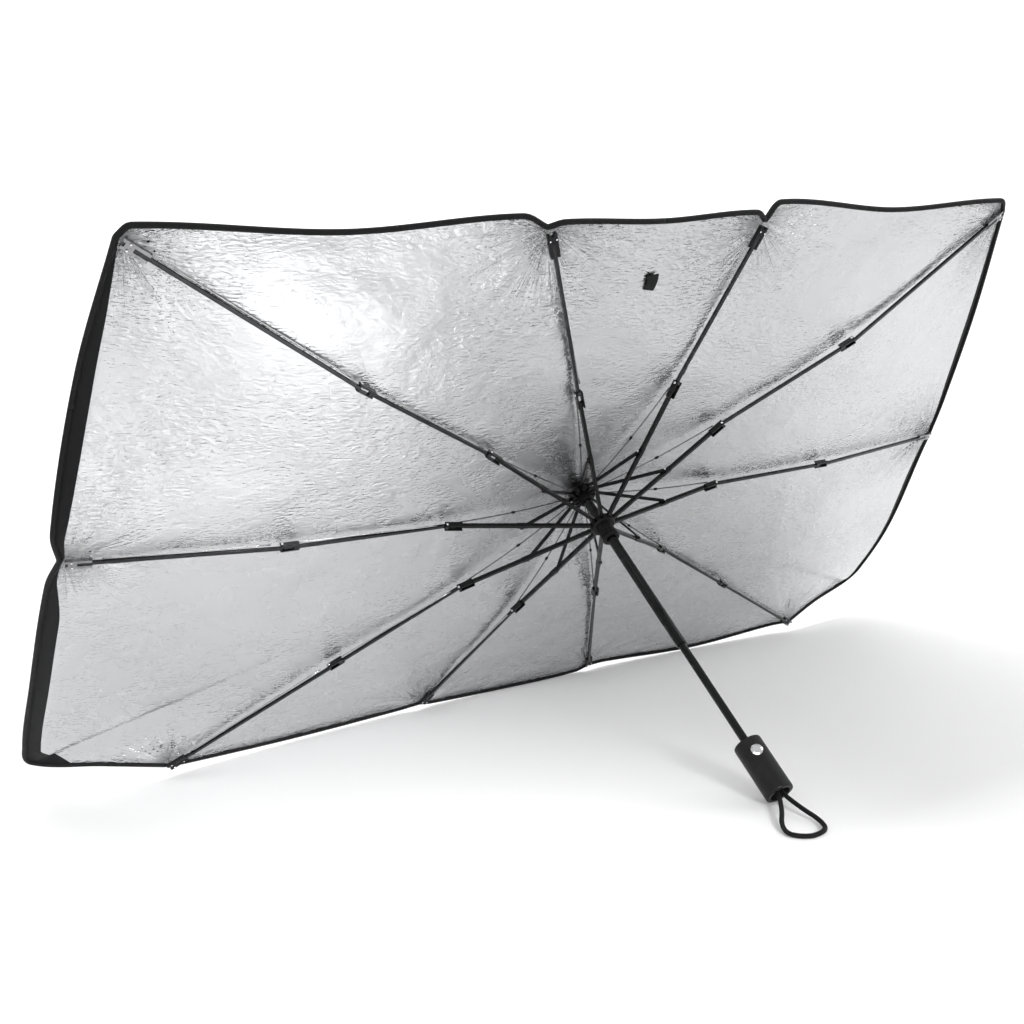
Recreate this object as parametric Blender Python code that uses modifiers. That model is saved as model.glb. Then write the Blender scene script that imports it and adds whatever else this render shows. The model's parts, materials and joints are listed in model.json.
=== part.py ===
"""Umbrella sunshade with a silver lining: a rectangular canopy on ten folding ribs, open and standing
on its lower edge and its handle.

Every piece is modelled in the umbrella's own frame: the shaft runs along +Z from the crown (Z = 0)
to the handle, and the canopy is long along X. One empty, the stand, tilts the whole umbrella into
its resting place on the floor, with the silver side and the handle towards -Y.
"""
import math

import bmesh
import bpy
import numpy as np
from mathutils import Matrix, Vector

NAME = "umbrella_sunshade"

# ---------------------------------------------------------------- driving dimensions, in metres
GAP = 0.0003                    # clearance between pieces that touch

# Ribs in mirrored pairs: name, azimuth from +X in degrees, radius and height of the tip, and
# whether the rib folds in three (with a middle rib) or in two.
RIB_PAIRS = (
    ("side", 0.0, 0.650, -0.021, True),
    ("upper", 33.5, 0.688, -0.049, True),
    ("top", 70.0, 0.417, -0.021, False),
    ("lower", -37.0, 0.680, -0.003, True),
    ("bottom", -71.2, 0.470, -0.033, False),
)
RUNNER_HEIGHT = 0.057           # pivots of the stretchers on the runner
HUB_PIVOT_RADIUS = 0.0125       # pivots on the crown and on the runner
KNUCKLE_RADIUS = 0.205          # first knuckle, where a stretcher ends
KNUCKLE_HEIGHT = 0.019
SECOND_KNUCKLE_RADIUS = 0.411   # second knuckle, where a middle rib ends
SECOND_KNUCKLE_HEIGHT = 0.009
STRUT_JOINT_RADIUS = 0.108      # rivet that joins a strut to its stretcher

STRETCHER_WIDTH = 0.0042
STRETCHER_DEPTH = 0.0050
RIB_WIDTH = 0.0038
RIB_DEPTH = 0.0038
STRUT_THICKNESS = 0.0022
STRUT_DEPTH = 0.0044
EYE_RADIUS = 0.0026
PIN_RADIUS = 0.0012
CHEEK_THICKNESS = 0.0018
CHEEK_LENGTH = 0.0200
KNUCKLE_OFFSET = 0.0024         # from a bar's centre line to the knuckle's pin
FORK_OVERLAP = 0.0030           # how far a bar reaches between the cheeks of its fork
BRIDGE_START = 0.0010           # bridge between a fork's cheeks, from the cheeks' inner ends
BRIDGE_END = 0.0070
BRIDGE_INSET = 0.0002           # keeps the bridge's faces off the bar's faces
PIN_STANDS_OUT = 0.0006
STRUT_CLEARANCE = 0.0004        # between a stretcher's side and its strut
SLEEVE_HALF_LENGTH = 0.0070     # sleeve on a stretcher that carries the strut's rivet
SLEEVE_RAISE = 0.0006
RIVET_DEPTH = 0.0005            # rivet head on a strut: sunk and standing out
RIVET_STANDS_OUT = 0.0009
RIVET_RADIUS = PIN_RADIUS * 1.3
CLIP_LENGTH = 0.0280            # tip clip between an outer rib's end and the piping
CLIP_WIDTH = 0.0110
CLIP_DEPTH = 0.0050
CLIP_AHEAD = CLIP_LENGTH * 0.45 # part of the clip that lies past the rib's end
CLIP_WEB_INSET = 0.0030
CLIP_RIVET_PLACE = CLIP_AHEAD * 0.35
CLIP_TO_PIPING = 0.0012
CLIP_STANDOFF = 0.0040          # between the fabric and the clip's plates
PIN_SIDES = 8
EYE_SIDES = 12

HUB_SIDES = 30
TUBE_SIDES = 20
TUBE_RADIUS = 0.0065            # upper tube of the shaft
TUBE_BORE = 0.0053
TUBE_END = 0.266
INNER_TUBE_RADIUS = 0.0048      # lower tube, which slides in the upper one
INNER_TUBE_START = 0.150
HANDLE_TOP = 0.410
HANDLE_BOTTOM = 0.477
HANDLE_RADIUS = 0.0165
HANDLE_RECESS_RADIUS = 0.0118
HANDLE_RECESS_DEPTH = 0.0070
HANDLE_RIM = 0.0018             # rounding of both ends
TUBE_IN_HANDLE = 0.0300
INNER_TUBE_WALL = 0.0008
BUTTON_AZIMUTH = 107.0
BUTTON_HEIGHT = 0.4275
BUTTON_RADIUS = 0.0066
BUTTON_POCKET_FLOOR = 0.0118    # distance of the pocket's floor from the shaft's axis
BUTTON_TRAVEL = 0.0020
BUTTON_STANDS_OUT = 0.0004
LOOP_RADIUS = 0.0025

# Turned outlines as (radius, height), down the outer side. Each is closed by the bore it runs on.
CROWN_OUTLINE = (
    (0.0088, 0.0140), (0.0092, 0.0130), (0.0094, 0.0045), (0.0162, 0.0045), (0.0170, 0.0036),
    (0.0170, -0.0050), (0.0155, -0.0068),
)
CAP_OUTLINE = (
    (0.0050, -0.0072), (0.0054, -0.0078), (0.0054, -0.0122), (0.0150, -0.0134), (0.0158, -0.0146),
    (0.0140, -0.0172), (0.0100, -0.0180), (0.0000, -0.0180), (0.0000, -0.0072),
)
RUNNER_OUTLINE = (
    (0.0108, 0.0845), (0.0120, 0.0830), (0.0120, 0.0775), (0.0108, 0.0760), (0.0112, 0.0630),
    (0.0150, 0.0622), (0.0166, 0.0606), (0.0166, 0.0534), (0.0158, 0.0525), (0.0094, 0.0525),
    (0.0092, 0.0480),
)
CROWN_SLOTS = (-0.0035, 0.0100) # heights between which the slots for the bars are cut
RUNNER_SLOTS = (0.0460, 0.0600)
SLOT_LENGTH = 0.0200
SLOT_START = HUB_PIVOT_RADIUS - 0.0030
TUBE_START = -0.0066

FABRIC_THICKNESS = 0.0020
PIPING_RADIUS = 0.0034
FABRIC_HOLE = 0.0070
FABRIC_TO_PIPING = FABRIC_THICKNESS * 0.4 + GAP
FOLD_CLEARANCE = 0.0200         # least distance from a knuckle's ring to the edge
CROWN_FABRIC_HEIGHT = -0.0105   # fabric at the crown, at the first and at the second knuckle
KNUCKLE_FABRIC_HEIGHT = 0.0060
SECOND_FABRIC_HEIGHT = -0.0010

LEAN = math.radians(41.14)       # canopy's tilt back from the vertical

# The canopy's edge from the middle of its top to the middle of its bottom, down the right side and
# down the left side, as (x, y, z). The sides hang a little differently. "notch" points are the rib
# tips, where the edge turns sharply inwards.
EDGE_TABLE = (
    ("smooth", (0.000, 0.397, -0.018), (0.000, 0.397, -0.018)),
    ("smooth", (0.126, 0.404, -0.019), (-0.124, 0.399, -0.019)),
    ("notch", (0.144, 0.392, -0.021), (-0.144, 0.392, -0.021)),
    ("smooth", (0.171, 0.408, -0.034), (-0.173, 0.403, -0.026)),
    ("smooth", (0.361, 0.391, -0.038), (-0.360, 0.385, -0.036)),
    ("smooth", (0.555, 0.396, -0.045), (-0.560, 0.393, -0.046)),
    ("notch", (0.574, 0.380, -0.049), (-0.574, 0.380, -0.049)),
    ("smooth", (0.625, 0.214, -0.044), (-0.615, 0.223, -0.054)),
    ("smooth", (0.653, 0.055, -0.032), (-0.654, 0.047, -0.018)),
    ("notch", (0.650, 0.000, -0.021), (-0.650, 0.000, -0.021)),
    ("smooth", (0.666, -0.045, -0.028), (-0.665, -0.045, -0.028)),
    ("smooth", (0.704, -0.229, -0.034), (-0.695, -0.231, -0.036)),
    ("smooth", (0.715, -0.357, -0.047), (-0.712, -0.358, -0.045)),
    ("smooth", (0.702, -0.391, -0.050), (-0.707, -0.394, -0.044)),
    ("smooth", (0.619, -0.401, -0.029), (-0.622, -0.404, -0.024)),
    ("notch", (0.543, -0.409, -0.003), (-0.543, -0.409, -0.003)),
    ("smooth", (0.513, -0.420, -0.012), (-0.515, -0.421, -0.009)),
    ("smooth", (0.353, -0.443, -0.021), (-0.351, -0.442, -0.023)),
    ("smooth", (0.188, -0.450, -0.037), (-0.187, -0.452, -0.035)),
    ("notch", (0.152, -0.445, -0.033), (-0.152, -0.445, -0.033)),
    ("smooth", (0.128, -0.455, -0.033), (-0.128, -0.454, -0.036)),
    ("smooth", (0.000, -0.458, -0.035), (0.000, -0.458, -0.035)),
)
EDGE_STEPS = 2                  # edge segments between two of these points

# Wrist loop: half of its route from the handle's recess to the far end, which lies on the floor.
# Each point is (sideways, outwards along the floor, up from the floor).
LOOP_ROUTE = (
    (0.0030, -0.0030, 0.0135),
    (0.0045, 0.0120, 0.0118),
    (0.0110, 0.0380, 0.0085),
    (0.0190, 0.0640, 0.0050),
    (0.0175, 0.0840, 0.0032),
    (0.0000, 0.0940, 0.0028),
)
LOOP_TURN = math.radians(-12.0)  # the loop lies a little to the left of the shaft's line
LOOP_STEPS = 5

STRAP_SIZE = (0.0150, 0.0210, 0.0014)
STRAP_PLACE = (0.000, 0.325)
STRAP_PROBE = 0.0100            # half the length over which the fabric's slope is measured

BLACK = ("black_painted_metal", (0.012, 0.012, 0.013), 0.35, 0.6)
STEEL = ("bright_metal", (0.55, 0.56, 0.58), 0.25, 1.0)
PLASTIC = ("black_plastic", (0.014, 0.014, 0.015), 0.45, 0.0)
SILVER = ("silver_coated_fabric", (0.62, 0.63, 0.65), 0.32, 0.9)
BINDING = ("black_binding", (0.010, 0.010, 0.011), 0.75, 0.0)
CORD = ("black_cord", (0.010, 0.010, 0.010), 0.85, 0.0)


# ---------------------------------------------------------------- scene helpers
def clear_scene():
    for obj in list(bpy.data.objects):
        bpy.data.objects.remove(obj, do_unlink=True)


def collection(name):
    group = bpy.data.collections.new(name)
    bpy.context.scene.collection.children.link(group)
    return group


def material(spec):
    name, colour, roughness, metallic = spec
    found = bpy.data.materials.get(name)
    if found:
        return found
    made = bpy.data.materials.new(name)
    made.use_nodes = True
    shader = made.node_tree.nodes["Principled BSDF"]
    shader.inputs["Base Color"].default_value = (*colour, 1.0)
    shader.inputs["Roughness"].default_value = roughness
    shader.inputs["Metallic"].default_value = metallic
    return made


def empty(name, parent=None, location=(0.0, 0.0, 0.0), rotation=(0.0, 0.0, 0.0)):
    guide = bpy.data.objects.new(name, None)
    PARTS.objects.link(guide)
    guide.parent = parent
    guide.location = location
    guide.rotation_euler = rotation
    return guide


def add_object(name, mesh, group):
    obj = bpy.data.objects.new(name, mesh)
    group.objects.link(obj)
    return obj


def bake(obj):
    """Replace an object that has modifiers with a plain mesh and return that mesh."""
    bpy.context.view_layer.update()
    evaluated = obj.evaluated_get(bpy.context.evaluated_depsgraph_get())
    mesh = bpy.data.meshes.new_from_object(evaluated)
    mesh.name = obj.name
    bpy.data.objects.remove(obj, do_unlink=True)
    return mesh


# ---------------------------------------------------------------- primitive shapes
def box(low, high):
    """A block between two opposite corners."""
    mesh = bpy.data.meshes.new("block")
    shape = bmesh.new()
    size = Vector(high) - Vector(low)
    centre = (Vector(high) + Vector(low)) / 2
    place = Matrix.Translation(centre) @ Matrix.Diagonal((*size, 1.0))
    bmesh.ops.create_cube(shape, size=1.0, matrix=place)
    shape.to_mesh(mesh)
    shape.free()
    return mesh


def rod(start, end, radius, sides):
    """A cylinder between two points."""
    mesh = bpy.data.meshes.new("rod")
    shape = bmesh.new()
    along = Vector(end) - Vector(start)
    turn = along.to_track_quat("Z", "Y").to_matrix().to_4x4()
    place = Matrix.Translation((Vector(start) + Vector(end)) / 2) @ turn
    bmesh.ops.create_cone(shape, cap_ends=True, segments=sides, radius1=radius, radius2=radius,
                          depth=along.length, matrix=place)
    shape.to_mesh(mesh)
    shape.free()
    return mesh


def turned(name, profile, steps):
    """A turned solid from a closed (radius, height) outline, listed down its outer side."""
    mesh = bpy.data.meshes.new(name)
    shape = bmesh.new()
    corners = [shape.verts.new((radius, 0.0, height)) for radius, height in profile]
    for first, second in zip(corners, corners[1:] + corners[:1]):
        shape.edges.new((first, second))
    shape.to_mesh(mesh)
    shape.free()
    obj = add_object(name, mesh, CUTTERS)
    screw = obj.modifiers.new("turn", "SCREW")
    screw.steps = steps
    screw.render_steps = steps
    screw.use_merge_vertices = True
    screw.merge_threshold = 0.00005
    screw.use_smooth_shade = True
    return bake(obj)


def combine(name, base, joined=(), cut=()):
    """Unite meshes with a base mesh, then cut others away, and return one closed mesh."""
    obj = add_object(name, base, CUTTERS)
    tools = [(mesh, "UNION") for mesh in joined] + [(mesh, "DIFFERENCE") for mesh in cut]
    helpers = []
    for mesh, operation in tools:
        helper = add_object("cutter", mesh, CUTTERS)
        helper.hide_render = True
        helper.display_type = "WIRE"
        helpers.append(helper)
        boolean = obj.modifiers.new(operation.lower(), "BOOLEAN")
        boolean.operation = operation
        boolean.solver = "EXACT"
        boolean.object = helper
    mesh = bake(obj)
    for helper in helpers:
        bpy.data.objects.remove(helper, do_unlink=True)
    return mesh


def part(name, mesh, spec, parent, location=(0.0, 0.0, 0.0), slope=0.0, smooth_angle=35.0):
    """Place a named piece. slope is the piece's own angle in the rib's plane, up towards +Z."""
    obj = add_object(name, mesh, PARTS)
    obj.parent = parent
    obj.location = location
    obj.rotation_euler = (0.0, -slope, 0.0)
    if not mesh.materials:
        mesh.materials.append(material(spec))
        mesh.shade_smooth()
        mesh.set_sharp_from_angle(angle=math.radians(smooth_angle))
    return obj


# ---------------------------------------------------------------- canopy surface
def edge_points():
    """The canopy's closed edge, counter-clockwise from the middle of the top edge."""
    right = [Vector(point) for _, point, _ in EDGE_TABLE]
    left = [Vector(point) for _, _, point in EDGE_TABLE]
    kinds = [kind for kind, _, _ in EDGE_TABLE]
    ring = left[:-1] + right[:0:-1]
    ring_kinds = kinds[:-1] + kinds[:0:-1]
    count = len(ring)
    points = []
    for i in range(count):
        following = (i + 1) % count
        start, end = ring[i], ring[following]
        chord = end - start
        leave, reach = chord, chord
        if ring_kinds[i] == "smooth":
            leave = (end - ring[i - 1]).normalized() * chord.length
        if ring_kinds[following] == "smooth":
            reach = (ring[(i + 2) % count] - start).normalized() * chord.length
        for step in range(EDGE_STEPS):
            t = step / EDGE_STEPS
            points.append(start * (2 * t**3 - 3 * t**2 + 1) + leave * (t**3 - 2 * t**2 + t)
                          + end * (3 * t**2 - 2 * t**3) + reach * (t**3 - t**2))
    return points


def rib_azimuths():
    """Each rib as (name, azimuth in degrees, tip radius, tip height, folds in three)."""
    ribs = []
    for name, azimuth, radius, height, three in RIB_PAIRS:
        ribs.append(("right_" + name, azimuth, radius, height, three))
        ribs.append(("left_" + name, 180.0 - azimuth, radius, height, three))
    return ribs


def long_rib_share(azimuth):
    """1 where the ribs fold in three, 0 where they fold in two, and a blend between them."""
    turn = math.degrees(azimuth) % 360.0
    ribs = sorted((a % 360.0, 1.0 if three else 0.0) for _, a, _, _, three in rib_azimuths())
    angles = [ribs[-1][0] - 360.0] + [a for a, _ in ribs] + [ribs[0][0] + 360.0]
    shares = [ribs[-1][1]] + [s for _, s in ribs] + [ribs[0][1]]
    return float(np.interp(turn, angles, shares))


def fabric_height(radius, azimuth, edge_radius, edge_height):
    """Height of the fabric's middle surface on one spoke of the canopy."""
    reach = (SECOND_KNUCKLE_RADIUS - KNUCKLE_RADIUS) / (edge_radius - KNUCKLE_RADIUS)
    straight = KNUCKLE_FABRIC_HEIGHT + (edge_height - KNUCKLE_FABRIC_HEIGHT) * min(reach, 1.0)
    share = long_rib_share(azimuth)
    radii = [0.0, KNUCKLE_RADIUS, edge_radius]
    heights = [CROWN_FABRIC_HEIGHT, KNUCKLE_FABRIC_HEIGHT, edge_height]
    if edge_radius > SECOND_KNUCKLE_RADIUS + FOLD_CLEARANCE:
        radii.insert(2, SECOND_KNUCKLE_RADIUS)
        heights.insert(2, straight + (SECOND_FABRIC_HEIGHT - straight) * share)
    return float(np.interp(radius, radii, heights))


def inset_edge(points, distance):
    """The edge moved inwards by a distance, in plan."""
    moved = []
    for i, point in enumerate(points):
        along = points[(i + 1) % len(points)] - points[i - 1]
        inward = Vector((-along.y, along.x, 0.0)).normalized()
        if inward.x * point.x + inward.y * point.y > 0:
            inward = -inward
        moved.append(point + inward * distance)
    return moved


def canopy_mesh():
    """The fabric: a thin closed sheet with a hole at the crown, inside the piping."""
    border = inset_edge(edge_points(), PIPING_RADIUS + FABRIC_TO_PIPING)
    mesh = bpy.data.meshes.new("canopy")
    shape = bmesh.new()
    rows = []
    for point in border:
        azimuth = math.atan2(point.y, point.x)
        reach = math.hypot(point.x, point.y)
        folds = [r for r in (KNUCKLE_RADIUS, SECOND_KNUCKLE_RADIUS) if r < reach - FOLD_CLEARANCE]
        row = []
        for radius in (FABRIC_HOLE, *folds, reach):
            height = fabric_height(radius, azimuth, reach, point.z)
            place = (radius * math.cos(azimuth), radius * math.sin(azimuth), height)
            row.append(shape.verts.new(place))
        rows.append(row)
    for row, following in zip(rows, rows[1:] + rows[:1]):
        stitch(shape, row, following)
    bmesh.ops.recalc_face_normals(shape, faces=shape.faces)
    shape.to_mesh(mesh)
    shape.free()
    obj = add_object("canopy", mesh, CUTTERS)
    solid = obj.modifiers.new("thickness", "SOLIDIFY")
    solid.thickness = FABRIC_THICKNESS
    solid.offset = 0.0
    return bake(obj)


def stitch(shape, row, following):
    """Fill the strip between two spokes, which may have different numbers of rings."""
    shared = min(len(row), len(following)) - 1
    for i in range(shared - 1):
        shape.faces.new((row[i], row[i + 1], following[i + 1], following[i]))
    shape.faces.new(row[shared - 1:] + following[:shared - 2:-1])


def smooth_route(points, steps):
    """Points along a Catmull-Rom curve through the given points."""
    ends = [points[0] * 2 - points[1]] + points + [points[-1] * 2 - points[-2]]
    route = []
    for i in range(1, len(ends) - 2):
        a, b, c, d = ends[i - 1:i + 3]
        for step in range(steps):
            t = step / steps
            route.append((b * 2 + (c - a) * t + (a * 2 - b * 5 + c * 4 - d) * t**2
                          + (b * 3 - a - c * 3 + d) * t**3) / 2)
    route.append(points[-1])
    return route


def tube_along(name, route, radius, closed):
    """A tube of round section along a list of points."""
    curve = bpy.data.curves.new(name, "CURVE")
    curve.dimensions = "3D"
    curve.bevel_depth = radius
    curve.bevel_resolution = 2
    curve.use_fill_caps = not closed
    spline = curve.splines.new("POLY")
    spline.points.add(len(route) - 1)
    for place, point in zip(spline.points, route):
        place.co = (*point, 1.0)
    spline.use_cyclic_u = closed
    obj = bpy.data.objects.new(name, curve)
    PARTS.objects.link(obj)
    return obj


# ---------------------------------------------------------------- ribs and linkage
def fork(pivot_x, pin_side):
    """Cheeks, bridge and pin at a bar's outer end. pin_side is +1 for a pin above the bar."""
    pin_z = pin_side * KNUCKLE_OFFSET
    inner = RIB_WIDTH / 2 + 2 * GAP
    outer = inner + CHEEK_THICKNESS
    half = STRETCHER_DEPTH / 2
    low = min(-half, pin_z - EYE_RADIUS)
    high = max(half, pin_z + EYE_RADIUS)
    start = pivot_x - CHEEK_LENGTH
    end = pivot_x + EYE_RADIUS
    right_cheek = box((start, inner, low), (end, outer, high))
    left_cheek = box((start, -outer, low), (end, -inner, high))
    bridge_width = (inner + outer) / 2
    bridge = box((start + BRIDGE_START, -bridge_width, -half + BRIDGE_INSET),
                 (start + BRIDGE_END, bridge_width, half - BRIDGE_INSET))
    pin_end = outer + PIN_STANDS_OUT
    pin = rod((pivot_x, -pin_end, pin_z), (pivot_x, pin_end, pin_z), PIN_RADIUS, PIN_SIDES)
    return [right_cheek, left_cheek, bridge, pin]


def eye(width, radius):
    """A round eye about the pivot at the origin."""
    return rod((0.0, -width / 2, 0.0), (0.0, width / 2, 0.0), radius, EYE_SIDES)


def stretcher_mesh(length):
    """Bar from the runner's pivot to the first knuckle, with the sleeve that carries the strut's rivet."""
    half_width = STRETCHER_WIDTH / 2
    half = STRETCHER_DEPTH / 2
    bar_end = length - CHEEK_LENGTH + FORK_OVERLAP
    bar = box((0.0, -half_width, -half), (bar_end, half_width, half))
    share = (STRUT_JOINT_RADIUS - HUB_PIVOT_RADIUS) / (KNUCKLE_RADIUS - HUB_PIVOT_RADIUS)
    sleeve_centre = length * share
    skin = STRUT_CLEARANCE - GAP
    sleeve = box((sleeve_centre - SLEEVE_HALF_LENGTH, -half_width - 2 * skin, -half - SLEEVE_RAISE),
                 (sleeve_centre + SLEEVE_HALF_LENGTH, half_width + skin, half + SLEEVE_RAISE))
    return combine("stretcher", bar, [eye(STRETCHER_WIDTH, half), sleeve, *fork(length, 1)])


def strut_mesh(length):
    """Flat bar beside the stretcher, from the crown's pivot to the rivet on the stretcher."""
    near = STRETCHER_WIDTH / 2 + STRUT_CLEARANCE
    far = near + STRUT_THICKNESS
    half = STRUT_DEPTH / 2
    bar = box((0.0, near, -half), (length, far, half))
    hub_end = rod((0.0, near, 0.0), (0.0, far, 0.0), STRETCHER_DEPTH / 2, EYE_SIDES)
    rivet_end = rod((length, near, 0.0), (length, far, 0.0), EYE_RADIUS, EYE_SIDES)
    head = rod((length, far - RIVET_DEPTH, 0.0), (length, far + RIVET_STANDS_OUT, 0.0),
               RIVET_RADIUS, PIN_SIDES)
    return combine("strut", bar, [hub_end, rivet_end, head])


def rib_mesh(length, bar_side, fork_side):
    """Middle or outer rib: an eye on the knuckle's pin, a bar beside it and perhaps a fork."""
    half_width = RIB_WIDTH / 2
    half = RIB_DEPTH / 2
    centre = bar_side * KNUCKLE_OFFSET
    bar_end = length - CHEEK_LENGTH + FORK_OVERLAP if fork_side else length
    bar = box((0.0, -half_width, centre - half), (bar_end, half_width, centre + half))
    drill = rod((0.0, -RIB_WIDTH, 0.0), (0.0, RIB_WIDTH, 0.0), PIN_RADIUS + GAP, PIN_SIDES)
    joined = [eye(RIB_WIDTH, EYE_RADIUS)]
    if fork_side:
        joined += lifted(fork(length, fork_side), centre)
    return combine("rib", bar, joined, [drill])


def lifted(meshes, height):
    for mesh in meshes:
        mesh.transform(Matrix.Translation((0.0, 0.0, height)))
    return meshes


def clip_mesh():
    """Tip clip: two plates beside the rib's end, joined by a web past it. The rib ends at the origin."""
    inner = RIB_WIDTH / 2 + GAP
    outer = CLIP_WIDTH / 2
    half = CLIP_DEPTH / 2
    back = CLIP_AHEAD - CLIP_LENGTH
    web = box((GAP, -outer, -half), (CLIP_AHEAD - CLIP_WEB_INSET, outer, half))
    left = box((back, inner, -half), (CLIP_AHEAD, outer, half))
    right = box((back, -outer, -half), (CLIP_AHEAD, -inner, half))
    rivet_end = outer + PIN_STANDS_OUT
    rivet = rod((CLIP_RIVET_PLACE, -rivet_end, 0.0), (CLIP_RIVET_PLACE, rivet_end, 0.0),
                PIN_RADIUS, PIN_SIDES)
    return combine("clip", web, [left, right, rivet])


def slope_between(start, end):
    return math.atan2(end[1] - start[1], end[0] - start[0])


def along_bar(start, slope, reach, lift):
    """A point in the rib's plane (radius, height), reached along a bar and then across it."""
    return (start[0] + reach * math.cos(slope) - lift * math.sin(slope),
            start[1] + reach * math.sin(slope) + lift * math.cos(slope))


def build_linkage(stand):
    crown_pivot = (HUB_PIVOT_RADIUS, 0.0)
    runner_pivot = (HUB_PIVOT_RADIUS, RUNNER_HEIGHT)
    knuckle = (KNUCKLE_RADIUS, KNUCKLE_HEIGHT)
    chord = math.dist(runner_pivot, knuckle)
    reach = math.sqrt(chord**2 - KNUCKLE_OFFSET**2)
    stretcher_slope = slope_between(runner_pivot, knuckle) - math.atan2(KNUCKLE_OFFSET, reach)
    joint_reach = (STRUT_JOINT_RADIUS - HUB_PIVOT_RADIUS) / math.cos(stretcher_slope)
    strut_joint = along_bar(runner_pivot, stretcher_slope, joint_reach, 0.0)
    strut_slope = slope_between(crown_pivot, strut_joint)
    second = (SECOND_KNUCKLE_RADIUS, SECOND_KNUCKLE_HEIGHT)
    middle_chord = math.dist(knuckle, second)
    middle_lift = -2 * KNUCKLE_OFFSET
    middle_reach = math.sqrt(middle_chord**2 - middle_lift**2)
    middle_slope = slope_between(knuckle, second) - math.atan2(middle_lift, middle_reach)

    stretcher = stretcher_mesh(reach)
    strut = strut_mesh(math.dist(crown_pivot, strut_joint))
    middle = rib_mesh(middle_reach, -1, -1)
    clip = clip_mesh()
    tip_gap = PIPING_RADIUS + CLIP_TO_PIPING + CLIP_AHEAD
    clip_lift = CLIP_DEPTH / 2 + FABRIC_THICKNESS / 2 + CLIP_STANDOFF

    outer_meshes = {}
    for name, azimuth, tip_radius, tip_height, three in rib_azimuths():
        frame = empty("rib_plane_" + name, stand, rotation=(0.0, 0.0, math.radians(azimuth)))
        part("strut_" + name, strut, BLACK, frame, (crown_pivot[0], 0.0, crown_pivot[1]), strut_slope)
        part("stretcher_" + name, stretcher, BLACK, frame, (runner_pivot[0], 0.0, runner_pivot[1]),
             stretcher_slope)
        pivot = knuckle
        bar_side = -1
        if three:
            part("middle_rib_" + name, middle, STEEL, frame, (knuckle[0], 0.0, knuckle[1]), middle_slope)
            pivot = second
            bar_side = 1
        tip = (tip_radius - tip_gap, tip_height + clip_lift)
        lift = bar_side * KNUCKLE_OFFSET
        outer_reach = math.sqrt(math.dist(pivot, tip)**2 - lift**2)
        slope = slope_between(pivot, tip) - math.atan2(lift, outer_reach)
        pair = (tip_radius, bar_side)
        if pair not in outer_meshes:
            outer_meshes[pair] = rib_mesh(outer_reach, bar_side, 0)
        part("outer_rib_" + name, outer_meshes[pair], STEEL, frame, (pivot[0], 0.0, pivot[1]), slope)
        part("tip_clip_" + name, clip, PLASTIC, frame, (tip[0], 0.0, tip[1]), slope)


# ---------------------------------------------------------------- hub, shaft and handle
def slots(heights, width, offset):
    """Ten radial slots, one per rib, as separate cutting blocks in one mesh."""
    low, high = heights
    centre = Matrix.Translation((SLOT_START + SLOT_LENGTH / 2, offset, (low + high) / 2))
    size = Matrix.Diagonal((SLOT_LENGTH, width, high - low, 1.0))
    shape = bmesh.new()
    for _, azimuth, _, _, _ in rib_azimuths():
        turn = Matrix.Rotation(math.radians(azimuth), 4, "Z")
        bmesh.ops.create_cube(shape, size=1.0, matrix=turn @ centre @ size)
    mesh = bpy.data.meshes.new("slots")
    shape.to_mesh(mesh)
    shape.free()
    return mesh


def build_hub(stand):
    bore = TUBE_RADIUS + GAP
    crown_bore = [(bore, CROWN_OUTLINE[-1][1]), (bore, CROWN_OUTLINE[0][1])]
    crown = turned("crown", [*CROWN_OUTLINE, *crown_bore], HUB_SIDES)
    strut_offset = STRETCHER_WIDTH / 2 + STRUT_CLEARANCE + STRUT_THICKNESS / 2
    crown = combine("crown", crown, cut=[slots(CROWN_SLOTS, STRUT_THICKNESS + 2 * GAP, strut_offset)])
    part("crown", crown, PLASTIC, stand)
    part("top_cap", turned("top_cap", CAP_OUTLINE, HUB_SIDES), PLASTIC, stand)

    slide = bore + GAP
    runner_bore = [(slide, RUNNER_OUTLINE[-1][1]), (slide, RUNNER_OUTLINE[0][1])]
    runner = turned("runner", [*RUNNER_OUTLINE, *runner_bore], HUB_SIDES)
    runner = combine("runner", runner, cut=[slots(RUNNER_SLOTS, STRETCHER_WIDTH + 2 * GAP, 0.0)])
    part("runner", runner, PLASTIC, stand)


def tube(name, radius, bore, start, end):
    outline = [(radius, end), (radius, start), (bore, start), (bore, end)]
    return turned(name, outline, TUBE_SIDES)


def build_shaft(stand):
    part("upper_tube", tube("upper_tube", TUBE_RADIUS, TUBE_BORE, TUBE_START, TUBE_END), BLACK, stand)
    inner_bore = INNER_TUBE_RADIUS - INNER_TUBE_WALL
    tube_foot = HANDLE_TOP + TUBE_IN_HANDLE
    lower = tube("lower_tube", INNER_TUBE_RADIUS, inner_bore, INNER_TUBE_START, tube_foot)
    part("lower_tube", lower, BLACK, stand)


def handle_outline():
    radius, rim = HANDLE_RADIUS, HANDLE_RIM
    bore = INNER_TUBE_RADIUS + GAP
    bore_end = HANDLE_TOP + TUBE_IN_HANDLE + GAP
    recess = HANDLE_BOTTOM - HANDLE_RECESS_DEPTH
    return [
        (radius - rim, HANDLE_BOTTOM), (radius - rim * 0.3, HANDLE_BOTTOM - rim * 0.3),
        (radius, HANDLE_BOTTOM - rim), (radius, HANDLE_TOP + rim),
        (radius - rim * 0.3, HANDLE_TOP + rim * 0.3), (radius - rim, HANDLE_TOP),
        (bore, HANDLE_TOP), (bore, bore_end), (0.0, bore_end), (0.0, recess),
        (HANDLE_RECESS_RADIUS, recess), (HANDLE_RECESS_RADIUS, HANDLE_BOTTOM),
    ]


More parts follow.
